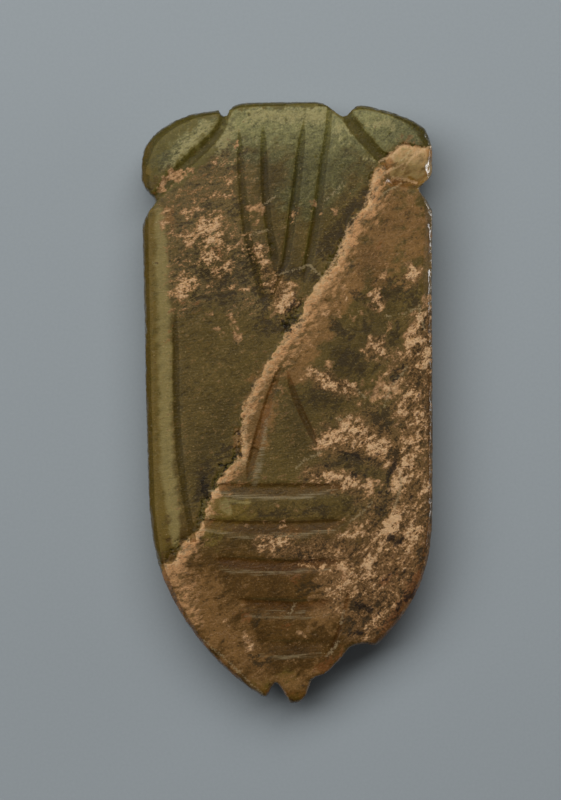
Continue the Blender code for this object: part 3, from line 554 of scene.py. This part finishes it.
def random_pits(seed, count, density, smallest, largest):
    """Pits at random places, kept where the density there is above a random draw."""
    rng = np.random.default_rng(seed)
    x = rng.uniform(-CHART_HALF_X + 1, CHART_HALF_X - 1, count)
    y = rng.uniform(-CHART_HALF_Y + 1, CHART_HALF_Y - 1, count)
    kept = read_chart(density, x, y) > rng.uniform(0, 1, count)
    radius = smallest + (largest - smallest) * rng.uniform(0, 1, count) ** 3
    return list(zip(x[kept], y[kept], radius[kept]))


def broken_planes(seed, spacing, tilt):
    """Small flat chips at random tilts, each owning the cells that are nearest to its middle."""
    rng = np.random.default_rng(seed)
    columns = int(2 * CHART_HALF_X / spacing) + 1
    rows = int(2 * CHART_HALF_Y / spacing) + 1
    shift = rng.uniform(0, 1, (rows + 2, columns + 2, 2))
    slope = rng.normal(0, tilt, (rows + 2, columns + 2, 3))
    u = (CHART_X + CHART_HALF_X) / spacing + 1
    v = (CHART_Y + CHART_HALF_Y) / spacing + 1
    nearest = np.full(CHART_X.shape, 99.0)
    height = np.zeros(CHART_X.shape)
    for down in (-1, 0, 1):
        for right in (-1, 0, 1):
            row = np.clip(v.astype(int) + down, 0, rows + 1)
            column = np.clip(u.astype(int) + right, 0, columns + 1)
            from_x = u - column - shift[row, column, 0]
            from_y = v - row - shift[row, column, 1]
            distance = np.hypot(from_x, from_y)
            planes = slope[row, column]
            tilted = (planes[..., 0] * from_x + planes[..., 1] * from_y) * spacing
            tilted += planes[..., 2] * spacing * 0.4
            closer = distance < nearest
            height = np.where(closer, tilted, height)
            nearest = np.minimum(nearest, distance)
    return height


def line_depth(plain):
    """How deep each cell lies in a carved line: below the face closed over everything narrow."""
    reach = round(LINE_REACH / CELL)
    closed = plain
    for farthest in (np.maximum, np.minimum):
        for axis in (0, 1):
            shifted = [np.roll(closed, step, axis) for step in range(-reach, reach + 1)]
            closed = farthest.reduce(shifted)
    return closed - plain


def carve_belly(plain, stains):
    """The carved face: hand-worked lines, the chipped break, crevices, crust and pits."""
    away = break_distance(CHART_X, CHART_Y)
    near_break = CHIP_WAVE * np.exp(-(away / CHIP_REACH) ** 2)
    ragged_x = HAND_WAVE * cloud(24, 3.0) + near_break * cloud(11, 1.2, 1.1)
    ragged_y = HAND_WAVE * cloud(25, 3.0) + near_break * cloud(12, 1.2, 1.1)
    heights = read_chart(plain, CHART_X + ragged_x, CHART_Y + ragged_y)
    worn = np.maximum(ease(-CHART_Y, 5.0, 8.0) * ease(away, 0.5, 1.5), ease(-away, 0.4, 1.0))
    heights = blur(heights, FACET_BLUR) * (1 - worn) + blur(heights, WORN_BLUR) * worn
    head = ease(-away, 0.4, 1.0) * ease(CHART_Y, 7.0, 9.0)
    heights = heights * (1 - head) + blur(heights, HEAD_BLUR) * head
    chipped = heights
    for x, y, height, fall_x, fall_y in EYE_CHIPS:
        plane = height - (CHART_X - x) * fall_x - (CHART_Y - y) * fall_y
        chipped = np.minimum(chipped, plane + 0.02 * cloud(26, 0.8))
    chip = ease(away, 0.0, 0.3) * ease(CHART_Y, EYE_CHIP_LOWEST - 0.3, EYE_CHIP_LOWEST)
    chip *= ease(CHART_X, 9.4, 11.0)
    heights += chip * (chipped - heights)
    heights += UNEVENNESS * cloud(13, 9.0, 2.0)
    honey = ease(stains["honey"], -0.1, 0.5)
    facet = ease(stains["facet"], -0.1, 0.3)
    crust = ease(stains["crust"], 0.0, 0.8)
    green = ease(stains["green"], 0.0, 0.6)
    small_chips = blur(broken_planes(14, 0.9, 0.07), 0.06) + 0.008 * cloud(15, 0.6, 0.9)
    heights += honey * (1 - facet) * small_chips
    heights += crust * (0.018 * cloud(16, 0.6, 1.0) + 0.012 * cloud(17, 0.25, 1.0))
    heights += 0.006 * cloud(18, 0.5, 1.0)
    heights -= CREVICE_DEPTH * ease(stains["crevice"] + 0.25 * cloud(19, 0.5, 1.0), 0.1, 0.8)
    add_pits(heights, PITS, 0.8)
    add_pits(heights, random_pits(20, 5200, crust * 0.5 + green * 0.12 + 0.01, 0.06, 0.24), 0.5)
    add_pits(heights, random_pits(21, 1500, honey * (1 - facet) * 0.3, 0.08, 0.2), 0.5)
    return heights


def carve_back(plain, stains):
    """The resting face, plainer: worn lines, the fine crack of the break and a few pits."""
    ragged = cloud(31, 0.9, 1.1) * 0.1
    heights = read_chart(plain, CHART_X + HAND_WAVE * cloud(32, 1.5), CHART_Y + HAND_WAVE * cloud(33, 1.5))
    heights = blur(heights, FACET_BLUR)
    away = np.abs(break_distance(CHART_X + ragged, CHART_Y))
    heights += CRACK_DEPTH * ease(-away, -0.28, -0.03)
    crust = ease(stains["crust"], 0.1, 0.9)
    hollows = 0.012 * (1 + cloud(34, 3.0)) + crust * 0.02 * (1 + cloud(35, 0.4, 1.0))
    add_pits(hollows, random_pits(36, 2600, crust * 0.4 + 0.02, 0.08, 0.25), -0.5)
    return heights + np.maximum(hollows, 0)


def remesh(piece, belly):
    """An even mesh over the solid, divided once on the carved face and again where that is busy."""
    make_active(piece)
    shell = piece.modifiers.new("even_mesh", "REMESH")
    shell.mode = "VOXEL"
    shell.voxel_size = VOXEL * MM
    bpy.ops.object.modifier_apply(modifier=shell.name)
    bends = sum(
        np.abs(2 * belly - np.roll(belly, 2, axis) - np.roll(belly, -2, axis)) for axis in (0, 1)
    )
    busy = blur(bends, 0.12)
    for least in (PLAIN_BEND, BUSY_BEND):
        divide(piece, busy, least)


def divide(piece, busy, least):
    """Divides the faces of the carved face where it bends by more than the least."""
    mesh = piece.data
    middles = read_vectors(mesh.polygons, "center") / MM
    upright = read_vectors(mesh.polygons, "normal")[:, 2]
    chosen = (upright > FACES_UP) & (read_chart(busy, middles[:, 0], middles[:, 1]) > least)
    make_active(piece)
    bpy.ops.object.mode_set(mode="EDIT")
    bpy.ops.mesh.select_mode(type="FACE")
    bpy.ops.mesh.select_all(action="DESELECT")
    bpy.ops.object.mode_set(mode="OBJECT")
    mesh.polygons.foreach_set("select", chosen)
    bpy.ops.object.mode_set(mode="EDIT")
    bpy.ops.mesh.subdivide(number_cuts=1)
    bpy.ops.object.mode_set(mode="OBJECT")


def read_vectors(source, name):
    """The named value of each item of a mesh, as rows of three numbers."""
    values = np.empty(len(source) * 3)
    source.foreach_get(name, values)
    return values.reshape(-1, 3)


def work_over(piece, belly, back, solid):
    """Moves every point of the even mesh onto the worked faces and chips the rim."""
    mesh = piece.data
    points = read_vectors(mesh.vertices, "co") / MM
    normals = read_vectors(mesh.vertex_normals, "vector")
    x, y, z = points.T
    well_inside = ease(read_chart(blur(solid, 0.3), x, y), 0.62, 0.9)
    up = ease(normals[:, 2], 0.15, 0.45) * well_inside
    down = ease(-normals[:, 2], 0.35, 0.65) * well_inside
    points[:, 2] += up * (read_chart(belly, x, y) - z) + down * (read_chart(back, x, y) - z)
    rim = (1 - up) * (1 - down)
    nicks = read_chart(cloud(41, 1.1, 1.1), x + 0.9 * z, y - 0.7 * z)
    fine = read_chart(cloud(42, 0.4, 1.0), x - 0.8 * z, y + 0.9 * z)
    depth = 0.035 * np.minimum(nicks, 0.3) + 0.012 * fine
    points += normals * (rim * depth)[:, None]
    mesh.vertices.foreach_set("co", (points * MM).ravel())
    mesh.update()


def mark(piece, name, values):
    attribute = piece.data.attributes.new(name, "FLOAT", "POINT")
    attribute.data.foreach_set("value", values.astype(np.float32))


def mark_stains(piece, stains, belly, back, lines, solid):
    """Writes how deep each point lies in each stain, and how hollow or proud the surface is there."""
    points = read_vectors(piece.data.vertices, "co") / MM
    normals = read_vectors(piece.data.vertex_normals, "vector")
    x, y, _ = points.T
    under = ease(-normals[:, 2], 0.1, 0.5)
    for name, field in stains.items():
        less = LESS_BELOW.get(name, OTHERS_LESS_BELOW)
        mark(piece, name, read_chart(field, x, y) - under * less)
    at_edge = 1 - ease(read_chart(blur(solid, 0.4), x, y), 0.7, 0.95)
    dull_rim = ease(x, 8.0, 12.0) * (1 - ease(y, 23.0, 26.0)) * at_edge
    mark(piece, "line", read_chart(lines, x, y) * (1 - under) * (1 - dull_rim))
    hollow = read_chart(blur(belly, HOLLOW_REACH) - belly, x, y) * (1 - under)
    mark(piece, "hollow", hollow + read_chart(back - blur(back, HOLLOW_REACH), x, y) * under)
    mark(piece, "slope", 1 - np.abs(normals[:, 2]))
    mark(piece, "away", read_chart(ragged_break(), x, y) - 50 * under)


# Materials

class Value:
    """A socket in a material, on which sums are written as plain expressions."""

    def __init__(self, stone, socket):
        self.stone = stone
        self.socket = socket

    def math(self, operation, *others):
        return self.stone.node("ShaderNodeMath", {"operation": operation}, {
            i: value for i, value in enumerate((self, *others))
        })

    def __add__(self, other):
        return self.math("ADD", other)

    def __sub__(self, other):
        return self.math("SUBTRACT", other)

    def __mul__(self, other):
        return self.math("MULTIPLY", other)

    def __rsub__(self, other):
        return self.stone.node("ShaderNodeMath", {"operation": "SUBTRACT"}, {0: other, 1: self})

    __radd__ = __add__
    __rmul__ = __mul__

    def greatest(self, other):
        return self.math("MAXIMUM", other)

    def within(self, low, high):
        return self.math("MAXIMUM", low).math("MINIMUM", high)

    def rise(self, low, high):
        """0 below low, 1 above high, and a smooth rise between."""
        return self.stone.node("ShaderNodeMapRange", {"interpolation_type": "SMOOTHSTEP"}, {
            "Value": self, "From Min": low, "From Max": high,
        })


class Stone:
    """A material and the nodes that it is worked out with."""

    def __init__(self, name):
        self.material = bpy.data.materials.new(name)
        self.material.use_nodes = True
        self.tree = self.material.node_tree
        self.surface = self.tree.nodes["Principled BSDF"]
        self.place = self.node("ShaderNodeVectorMath", {"operation": "SCALE"}, {
            0: self.node("ShaderNodeTexCoord", None, None, 3), 3: 1 / MM,
        })

    def node(self, kind, settings=None, inputs=None, output=0):
        made = self.tree.nodes.new(kind)
        for key, value in (settings or {}).items():
            setattr(made, key, value)
        for key, value in (inputs or {}).items():
            if isinstance(value, Value):
                self.tree.links.new(value.socket, made.inputs[key])
            else:
                made.inputs[key].default_value = value
        return Value(self, made.outputs[output])

    def mix(self, share, under, over):
        return self.node("ShaderNodeMix", {"data_type": "RGBA"}, {0: share, 6: under, 7: over}, 2)

    def times(self, colour, share):
        if isinstance(colour, tuple):
            colour = colour[:3]
        return self.node("ShaderNodeVectorMath", {"operation": "SCALE"}, {0: colour, 3: share})

    def attribute(self, name):
        return self.node("ShaderNodeAttribute", {"attribute_name": name}, None, 2)

    def slanted(self, angle, along, across, shift=0.0):
        """The place, drawn out along a direction at the angle from +X."""
        turned = self.node("ShaderNodeVectorRotate", {"rotation_type": "Z_AXIS"}, {
            "Vector": self.place, "Angle": math.radians(-angle),
        })
        return self.node("ShaderNodeMapping", None, {
            "Vector": turned, "Location": (shift, shift, shift),
            "Scale": (1 / along, 1 / across, 1 / across),
        })

    def noise(self, place, size=1.0, detail=4.0, roughness=0.6):
        """Cloudiness with mean 0 and a deviation of about 1."""
        steps = [roughness ** i for i in range(int(detail) + 1)]
        deviation = 0.13 * math.sqrt(sum(step * step for step in steps)) / sum(steps)
        found = self.node("ShaderNodeTexNoise", None, {
            "Vector": place, "Scale": 1 / size, "Detail": detail, "Roughness": roughness,
        })
        return (found - 0.5) * (1 / deviation)

    def set(self, **constants):
        for key, value in constants.items():
            self.surface.inputs[key.replace("_", " ")].default_value = value

    def feed(self, name, value):
        self.tree.links.new(value.socket, self.surface.inputs[name])


# Colours of the stone, as linear red, green and blue
OLIVE = (0.120, 0.081, 0.021, 1)
FROST_OLIVE = (0.140, 0.096, 0.032, 1)
LOW_OLIVE = (0.108, 0.055, 0.013, 1)
SHEENED_HEAD_GREEN = (0.222, 0.208, 0.084, 1)
DEEP_GREEN = (0.108, 0.096, 0.034, 1)
CLEAR_GREEN = (0.120, 0.094, 0.018, 1)
CLEAR_BROWN = (0.126, 0.080, 0.024, 1)
YELLOW_OLIVE = (0.168, 0.112, 0.022, 1)
PALE_GREEN = (0.345, 0.300, 0.130, 1)
WARM_BROWN = (0.240, 0.125, 0.040, 1)
CRUST_BROWN = (0.220, 0.116, 0.044, 1)
HONEY_DEEP = (0.190, 0.108, 0.034, 1)
HONEY_LIGHT = (0.645, 0.345, 0.150, 1)
AMBER = (0.370, 0.255, 0.098, 1)
STRIP_OLIVE = (0.275, 0.215, 0.078, 1)
WORN_HIGHLIGHT_GREY = (0.290, 0.225, 0.120, 1)
GROOVE_TINT = (0.58, 0.56, 0.34, 1)
LOW_GROOVE_TINT = (0.78, 0.66, 0.50, 1)
RIDGE_PINK = (0.660, 0.430, 0.220, 1)
AMBER_DEEP = (0.250, 0.132, 0.026, 1)
CREAM = (0.810, 0.530, 0.275, 1)
SAND = (0.300, 0.170, 0.068, 1)
GREEN_SPECK = (0.330, 0.300, 0.150, 1)
PINK_TAN = (0.500, 0.275, 0.125, 1)
LIGHT_PINK = (0.790, 0.515, 0.275, 1)
DARK_BROWN = (0.044, 0.029, 0.012, 1)
NEAR_BLACK = (0.010, 0.007, 0.005, 1)
RUST_RED = (0.260, 0.085, 0.026, 1)
CALCITE = (0.480, 0.370, 0.200, 1)


def jade():
    """Olive jade with burial stains, crusts and a mended break."""
    stone = Stone("stained_olive_jade")
    across = stone.node("ShaderNodeSeparateXYZ", None, {0: stone.place}, 0)
    along = stone.node("ShaderNodeSeparateXYZ", None, {0: stone.place}, 1)
    cloudy = stone.noise(stone.place, 3.5, 2.0)
    middling = stone.noise(stone.slanted(28, 1.5, 0.9), 1.0, 3.0, 0.6)
    left = stone.noise(stone.slanted(24, 0.72, 0.38), 1.0, 4.0, 0.72)
    right = stone.noise(stone.slanted(52, 0.74, 0.42, 9.0), 1.0, 4.0, 0.72)
    flecks = stone.node("ShaderNodeMix", None, {0: across.rise(1.0, 6.0), 2: left, 3: right})
    grain = stone.noise(stone.place, 0.2, 2.0, 0.6)
    tint = stone.noise(stone.slanted(35, 0.9, 0.5, 4.0), 1.0, 3.0, 0.6)

    def stain(name, low, high, wander=0.0, source=None):
        """How strong the stain is: 0 where its depth is low and 1 where high, its edge wandering."""
        depth = stone.attribute(name)
        if wander:
            depth = depth + source * wander
        return depth.rise(low, high)

    green = stain("green", -0.4, 0.7, 0.15, middling)
    yellow = stain("yellow", -0.3, 0.6, 0.2, middling)
    clear = stain("clear", -0.3, 0.4, 0.1, middling)
    pale = stain("pale", -0.4, 0.8, 0.3, flecks)
    streaks = stone.noise(stone.slanted(2, 3.0, 0.14, 5.0), 1.0, 2.0)
    # Worn crests below the abdomen's lines, partly a painted highlight
    worn = stain("worn", -0.3, 1.1, 0.2, streaks) * (streaks * 0.4 + 0.6).within(0.0, 1.0)
    brown = stain("brown", -0.4, 0.7, 0.3, middling)
    rust = stain("rust", -0.3, 0.7, 0.45, flecks)
    crust = stain("crust", -0.7, 0.8, 0.2, middling)
    frost = stain("frost", -0.4, 0.5, 0.2, middling)
    facet = stain("facet", -0.1, 0.3)
    dim = stain("dim", -0.8, 0.8, 0.25, middling)
    vein = stain("vein", -0.4, 0.8, 0.4, grain)
    ridge = stain("ridge", -0.6, 0.7, 0.25, grain)
    crevice = stain("crevice", 0.1, 0.8, 0.15, flecks)
    black = stain("black", -0.2, 0.6, 0.4, flecks)
    slope = stone.attribute("slope").rise(0.02, 0.14)
    rim = stone.attribute("slope").rise(0.12, 0.28)
    groove = stone.attribute("line").rise(0.01, 0.07)
    pit = stone.attribute("hollow").rise(0.02, 0.07)
    away = stone.attribute("away")
    strip = stain("strip", -0.3, 0.6, 0.1, middling)
    honey = stain("honey", -0.3, 0.9, 0.22, flecks) * (1 - groove * (1 - facet) * 0.5)
    honey = honey.greatest(facet * away.rise(0.0, 0.15))
    lip = (away + flecks * 0.08).rise(0.0, 0.12) * (1 - (away + flecks * 0.3).rise(0.1, 0.9))

    tan_depth = (stone.attribute("tan") * 1.5 + 0.75).within(0.0, 2.6)
    dark_depth = (stone.attribute("dark") * 1.1 + 0.7).within(0.0, 1.6)
    speckle = flecks * 0.8 + grain * 0.46 + middling * 0.28
    rich = crust.greatest(frost).greatest(brown * 0.8)
    strength = 0.3 + crust * 0.68 + frost.greatest(brown * 0.4) * (1 - crust) * 0.42 - green * 0.1
    patches = stone.noise(stone.slanted(50, 3.2, 1.5, 3.0), 1.0, 2.0)
    folds = stone.noise(stone.slanted(42, 2.2, 1.2, 7.0), 1.0, 3.0, 0.55)
    threads = (1 - folds.greatest(0 - folds) * 5.0).within(0.0, 1.0)
    threads = threads * (flecks * 0.3 + 0.6).within(0.0, 1.0)
    # The level of the speckle: light specks and patches where it is high, dark ones where low
    level = speckle * strength + tan_depth - dark_depth * 0.85
    level = level + crust * (0.3 + patches * 0.4) + pale * 0.12
    level = level + threads * rich * (1 - green) * 0.9
    kept = 1 - stone.attribute("tan").rise(-0.4, 0.2)
    light = level - groove * kept * 0.5 - clear * kept * 0.6
    deep = (0 - level) - clear * 0.9 - green * 0.3 - groove * 0.15 - slope * 0.4
    deep = deep - pale * 0.5 - strip * 0.5 - yellow * 0.5

    # Partly a painted sheen: the green jade of the head is made lighter towards its top
    head_green_and_sheen = stone.mix(along.rise(28.2, 23.0), SHEENED_HEAD_GREEN, DEEP_GREEN)
    base = stone.mix(green, stone.mix(frost, OLIVE, FROST_OLIVE), head_green_and_sheen)
    base = stone.mix(along.rise(-9.0, -17.0), base, LOW_OLIVE)
    # Partly painted sheen: the pale places are mixed towards a paler grey-green
    base = stone.mix(pale * 0.8, base, PALE_GREEN)
    # Partly painted shade: sloping faces, bevels and clear places are mixed towards the darker, more
    # saturated clear jade, while the flat face keeps its paler colour
    polish_and_slope_shade = slope.greatest(yellow).greatest(clear) * (1 - crust * 0.7) * 0.85
    clear_colour = stone.mix(away.rise(0.0, 0.5), CLEAR_GREEN, CLEAR_BROWN)
    base = stone.mix(polish_and_slope_shade, base, stone.mix(yellow, clear_colour, YELLOW_OLIVE))
    # Partly painted sheen and highlight: the pale strip beside the left wing and the streaks below the
    # abdomen's first line
    base = stone.mix(strip * 0.85, base, STRIP_OLIVE)
    base = stone.mix(brown * 0.85, base, WARM_BROWN)
    base = stone.mix(crust * (1 - frost) * (1 - green) * 0.7, base, CRUST_BROWN)
    base = stone.times(base, 1 - dim * 0.26)
    mottle = cloudy * 0.05 + middling * 0.06 + flecks * 0.08 + grain * 0.08
    mottle = mottle * (1 - strip * 0.3) + (flecks * 0.05 + grain * 0.05) * green
    mottle = mottle * (1 - clear.greatest(pale * 0.7) * 0.6) + 1
    base = stone.times(base, mottle.within(0.45, 1.6))

    # The honey is lightest beside the break, and towards both of its ends
    honey_share = (1 - away.rise(0.2, 1.8)) * 1.05 + tint * 0.24 + flecks * 0.26
    honey_share = honey_share + along.rise(-2.0, 6.0) * 0.65 - 0.5
    honey_share = honey_share + (1 - along.rise(-9.0, -6.0)) * 0.55
    honey_share = honey_share + (1 - along.rise(-16.5, -14.5)) * 0.35
    honey_colour = stone.mix(honey_share.within(0.0, 1.0), HONEY_DEEP, HONEY_LIGHT)
    honey_colour = stone.mix(facet * (tint * 0.22 + 0.62).within(0.0, 1.0), honey_colour, AMBER)
    honey_colour = stone.mix(lip * (1 - facet * 0.4) * 0.75, honey_colour, CREAM)
    honey_colour = stone.mix(yellow * 0.95, honey_colour, stone.mix(facet, YELLOW_OLIVE, AMBER_DEEP))
    base = stone.mix(honey * 0.92, base, honey_colour)

    tinted = stone.mix(away.rise(0.0, 0.5), GROOVE_TINT, LOW_GROOVE_TINT)
    saturated = stone.node("ShaderNodeVectorMath", {"operation": "MULTIPLY"}, {0: base, 1: tinted})
    base = stone.mix(groove, base, saturated)
    # Painted highlight, partly wear: the crests below the abdomen's lines are mixed towards a pale grey
    base = stone.mix(worn * 0.7, base, WORN_HIGHLIGHT_GREY)
    base = stone.mix(ridge * 0.6, base, RIDGE_PINK)
    base = stone.mix(deep.rise(0.35, 1.6) * (1 - facet) * 0.8, base, DARK_BROWN)
    sand = stone.mix(green.greatest(clear) * kept, SAND, GREEN_SPECK)
    base = stone.mix(light.rise(0.2, 1.1) * 0.7, base, stone.times(sand, 1 + tint * 0.12))
    base = stone.mix(light.rise(0.8, 1.9) * 0.9, base, stone.times(PINK_TAN, 1 + tint * 0.15))
    base = stone.mix(light.rise(1.5, 2.9) * 0.88, base, LIGHT_PINK)
    base = stone.mix(rust * 0.36, base, RUST_RED)
    base = stone.mix(vein * 0.4, base, CALCITE)
    dark_pit = pit * crust.greatest(green * 0.5) * (1 - facet) * 0.7
    base = stone.mix(black.greatest(dark_pit) * 0.85, base, NEAR_BLACK)
    # Painted shade: the crevices at the foot of the break are darkened towards black
    base = stone.mix(crevice * 0.55, base, NEAR_BLACK)
    stone.feed("Base Color", base)

    rough = crust.greatest(honey * (1 - facet) * 0.6 * (1 - rim)).greatest(light.rise(0.6, 1.4))
    stone.feed("Roughness", 0.36 - rim * 0.12 + rough * 0.24 + grain * 0.02)
    stone.feed("Coat Weight", rim * (1 - rough * 0.9) * (1 - honey * (1 - facet)) * 0.75)
    scratches = stone.noise(stone.slanted(8, 4.0, 0.12), 1.0, 1.0)
    height = speckle * (0.2 + rough * 1.35) * (1 - strip * 0.5) * (1 - facet * 0.8)
    height = height + scratches * 0.15 + grain * (0.22 + rough * 0.2)
    stone.feed("Normal", stone.node("ShaderNodeBump", None, {
        "Strength": 1.0, "Distance": 0.013 * MM, "Height": height,
    }))
    stone.set(
        Subsurface_Weight=0.15, Subsurface_Radius=(1.0, 0.75, 0.35), Subsurface_Scale=0.35 * MM,
        IOR=1.6, Specular_IOR_Level=0.1, Coat_Roughness=0.12, Coat_IOR=1.6,
    )
    return stone.material


def floor_paper():
    """A plain, pale cool grey sheet of paper."""
    paper = Stone("pale_grey_paper")
    fibre = (paper.noise(paper.place, 0.3, 3.0) * 0.25 + 0.5).within(0.0, 1.0)
    paper.feed("Base Color", paper.mix(fibre, (0.352, 0.398, 0.430, 1), (0.366, 0.413, 0.445, 1)))
    paper.set(Roughness=0.9)
    return paper.material


# The studio

def lay_floor():
    bpy.ops.object.select_all(action="DESELECT")
    bpy.ops.mesh.primitive_plane_add(size=FLOOR_SIZE, location=(0, 0, 0))
    floor = bpy.context.active_object
    floor.name = "floor"
    floor.data.materials.append(floor_paper())


def area_light(name, towards, distance, size, power, colour):
    """A soft light at an azimuth and elevation in degrees, turned to the stone."""
    azimuth, elevation = (math.radians(angle) for angle in towards)
    flat = math.cos(elevation)
    direction = Vector((math.cos(azimuth) * flat, math.sin(azimuth) * flat, math.sin(elevation)))
    data = bpy.data.lights.new(name, "AREA")
    data.energy = power
    data.color = colour
    data.shape = "RECTANGLE"
    data.size, data.size_y = size
    light = bpy.data.objects.new(name, data)
    light.location = direction * distance
    light.rotation_euler = direction.to_track_quat("Z", "Y").to_euler()
    bpy.context.scene.collection.objects.link(light)


def light_studio():
    area_light("key_softbox", (114, 57), 0.42, (0.84, 0.30), 2.31, (1.0, 0.985, 0.965))
    area_light("right_strip", (6, 7), 0.45, (0.3, 0.03), 0.5, (1.0, 1.0, 1.0))
    area_light("left_strip", (212, 8), 0.45, (0.2, 0.03), 0.06, (1.0, 1.0, 1.0))
    world = bpy.data.worlds.new("studio_air")
    bpy.context.scene.world = world
    world.use_nodes = True
    air = world.node_tree.nodes["Background"]
    air.inputs["Color"].default_value = (0.95, 0.97, 1.0, 1.0)
    air.inputs["Strength"].default_value = 0.025
    bpy.context.scene.view_settings.view_transform = "Standard"


def set_camera():
    data = bpy.data.cameras.new("copy_stand")
    data.lens = SENSOR * CAMERA_HEIGHT / (IMAGE_HEIGHT / PIXELS_PER_MM)
    data.sensor_width = SENSOR
    camera = bpy.data.objects.new("copy_stand", data)
    across = (IMAGE_WIDTH / 2 - ORIGIN_PIXEL[0]) / PIXELS_PER_MM
    along = (ORIGIN_PIXEL[1] - IMAGE_HEIGHT / 2) / PIXELS_PER_MM
    camera.location = Vector((across, along, CAMERA_HEIGHT + MID_HEIGHT)) * MM
    bpy.context.scene.collection.objects.link(camera)
    bpy.context.scene.camera = camera


def read_stains():
    """The chart of each stain, with its edges made ragged."""
    x = CHART_X + RAGGED * cloud(51, 1.0, 1.1) + TEETH * cloud(52, 0.35, 1.0)
    y = CHART_Y + RAGGED * cloud(53, 1.0, 1.1) + TEETH * cloud(54, 0.35, 1.0)
    wavy_x = CHART_X + WAVY * cloud(55, 3.0)
    wavy_y = CHART_Y + WAVY * cloud(56, 3.0)
    lower_only = np.clip(ragged_break() / 0.12, -3, 3)
    ragged = {
        "tan": TAN, "crust": CRUST, "frost": FROST, "rust": RUST, "dark": DARK, "dim": DIM,
        "black": BLACK, "brown": BROWN, "green": GREEN, "yellow": YELLOW, "pale": PALE,
        "clear": CLEAR, "crevice": CREVICES,
    }
    wavy = {"strip": STRIP, "facet": FACET, "worn": WORN_CRESTS_AND_HIGHLIGHTS, "vein": VEINS, "ridge": RIDGES}
    stains = {"honey": np.minimum(stroke_depth(HONEY, x, y), lower_only)}
    stains.update((name, stroke_depth(strokes, x, y)) for name, strokes in ragged.items())
    stains.update((name, stroke_depth(strokes, wavy_x, wavy_y)) for name, strokes in wavy.items())
    return stains


def make_cicada():
    cicada = merged_copy(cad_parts[NODE])
    plain_belly, solid = read_heights(cicada, 1)
    plain_back, _ = read_heights(cicada, -1)
    stains = read_stains()
    belly = carve_belly(plain_belly, stains)
    back = carve_back(plain_back, stains)
    remesh(cicada, belly)
    work_over(cicada, belly, back, solid)
    cicada.data.shade_smooth()
    mark_stains(cicada, stains, belly, back, line_depth(plain_belly), solid)
    cicada.data.materials.append(jade())
    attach(cicada, "root")
    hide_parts(NODE)


set_camera()
light_studio()
lay_floor()
make_cicada()
